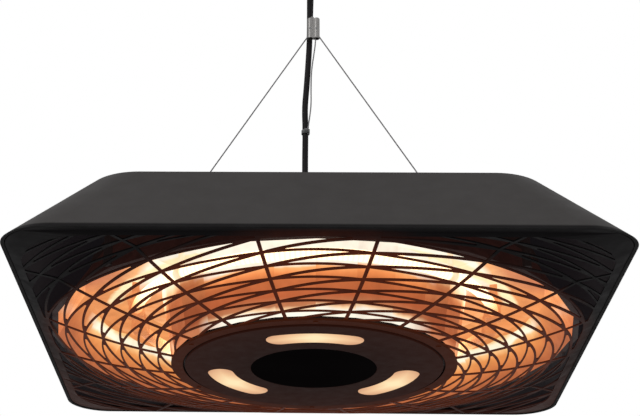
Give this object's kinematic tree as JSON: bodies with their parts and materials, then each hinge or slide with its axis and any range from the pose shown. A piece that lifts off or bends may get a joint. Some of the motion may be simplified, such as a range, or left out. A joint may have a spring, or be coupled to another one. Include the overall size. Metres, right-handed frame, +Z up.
{
  "type": "hanging electric infrared heater",
  "caption": "Square hanging electric infrared heater with a sheet-metal shade, domed pierced grille, ring lamps, light hub, wire suspension and ceiling canopy.",
  "frame": {"origin": "on the ceiling, midway between the two screw slots of the ceiling bracket; the heater hangs below", "axes": "+Z up, +X along the two suspension ropes and the bracket, -Y towards the side that the picture shows"},
  "size_m": [0.6, 0.6, 0.531],
  "materials": {
    "shade_coat": "satin dark grey powder coat",
    "grille_coat": "satin black heat-proof coat",
    "hub_coat": "satin black-brown coat",
    "cover_black": "smooth black",
    "diffuser_milk": "milky, lit from behind",
    "reflector_metal": "bright faceted",
    "plated_steel": "zinc plated",
    "screw_steel": "plated, worn at the edges",
    "lamp_glass": "clear tube",
    "filament_wire": "glowing coil",
    "ceramic_white": "unglazed",
    "cord_rubber": "matt black",
    "rope_wire": "twisted strands",
    "rope_coated": "black sleeve over strands",
    "gripper_metal": "satin nickel",
    "gland_plastic": "moulded black",
    "tie_plastic": "pale grey",
    "canopy_coat": "satin dark grey powder coat",
    "board_green": "white solder mask",
    "chip_yellow": "phosphor",
    "driver_case": "moulded",
    "terminal_plastic": "moulded cream",
    "lead_sleeve": "braided glass sleeve"
  },
  "bodies": {
    "ceiling": {"ceiling_bracket": "plated_steel", "ceiling_terminal_block": "terminal_plastic", "hanger_clevis": "plated_steel", "upper_hanger_pin": "screw_steel", "cord_anchor": "gland_plastic"},
    "canopy": {"canopy_cover": "canopy_coat", "canopy_screws": "screw_steel"},
    "hanger_link": {"hanger_link": "plated_steel", "lower_hanger_pin": "screw_steel"},
    "pendant": {"rope_ferrule": "gripper_metal", "main_rope": "rope_coated", "gripper_body": "gripper_metal", "gripper_set_screws": "screw_steel", "rope_left": "rope_wire", "rope_right": "rope_wire", "rope_end_left": "gripper_metal", "rope_end_right": "gripper_metal", "rope_spare_end": "rope_wire", "power_cord": "cord_rubber", "cord_tie": "tie_plastic"},
    "release_collar": {"release_collar": "gripper_metal"},
    "heater": {"cord_gland": "gland_plastic", "gland_nut": "gland_plastic", "gland_locknut": "gland_plastic", "cord_inner_end": "cord_rubber", "shade": "shade_coat", "rope_eyes": "gripper_metal", "eye_nuts": "plated_steel", "posts": "plated_steel", "post_screws": "screw_steel", "grille": "grille_coat", "reflector": "reflector_metal", "heat_shield": "plated_steel", "shield_spacers": "ceramic_white", "lamp_near": "lamp_glass", "lamp_far": "lamp_glass", "filament_near": "filament_wire", "filament_far": "filament_wire", "lamp_caps_near": "ceramic_white", "lamp_caps_far": "ceramic_white", "lamp_clips": "plated_steel", "cap_carrier_right": "plated_steel", "cap_carrier_left": "plated_steel", "lead_bushings": "ceramic_white", "lamp_lead_right": "lead_sleeve", "lamp_lead_left": "lead_sleeve", "terminal_block": "ceramic_white", "thermal_cutout": "screw_steel", "hub_ring": "grille_coat", "hub_housing": "plated_steel", "hub_screws": "screw_steel", "light_disc": "hub_coat", "diffuser_near": "diffuser_milk", "diffuser_right": "diffuser_milk", "diffuser_left": "diffuser_milk", "led_board": "board_green", "led_chips": "chip_yellow", "led_driver": "driver_case", "centre_cover": "cover_black"}
  },
  "joints": [
    {"name": "canopy_slide", "type": "slide", "parent": "ceiling", "child": "canopy", "axis": [0, 0, -1], "range_m": [0, 0.05]},
    {"name": "link_swing", "type": "hinge", "parent": "ceiling", "child": "hanger_link", "pos_m": [0, 0, -0.02], "axis": [0, 1, 0], "range_deg": [-5, 5]},
    {"name": "pendant_swing", "type": "hinge", "parent": "hanger_link", "child": "pendant", "pos_m": [0, 0, -0.033], "axis": [1, 0, 0], "range_deg": [-5, 5]},
    {"name": "collar_press", "type": "slide", "parent": "pendant", "child": "release_collar", "axis": [0, 0, -1], "range_m": [0, 0.0015], "stiffness_N_per_m": 200},
    {"name": "heater_rock", "type": "hinge", "parent": "pendant", "child": "heater", "pos_m": [0, 0, -0.392], "axis": [1, 0, 0], "range_deg": [-8, 8]}
  ]
}
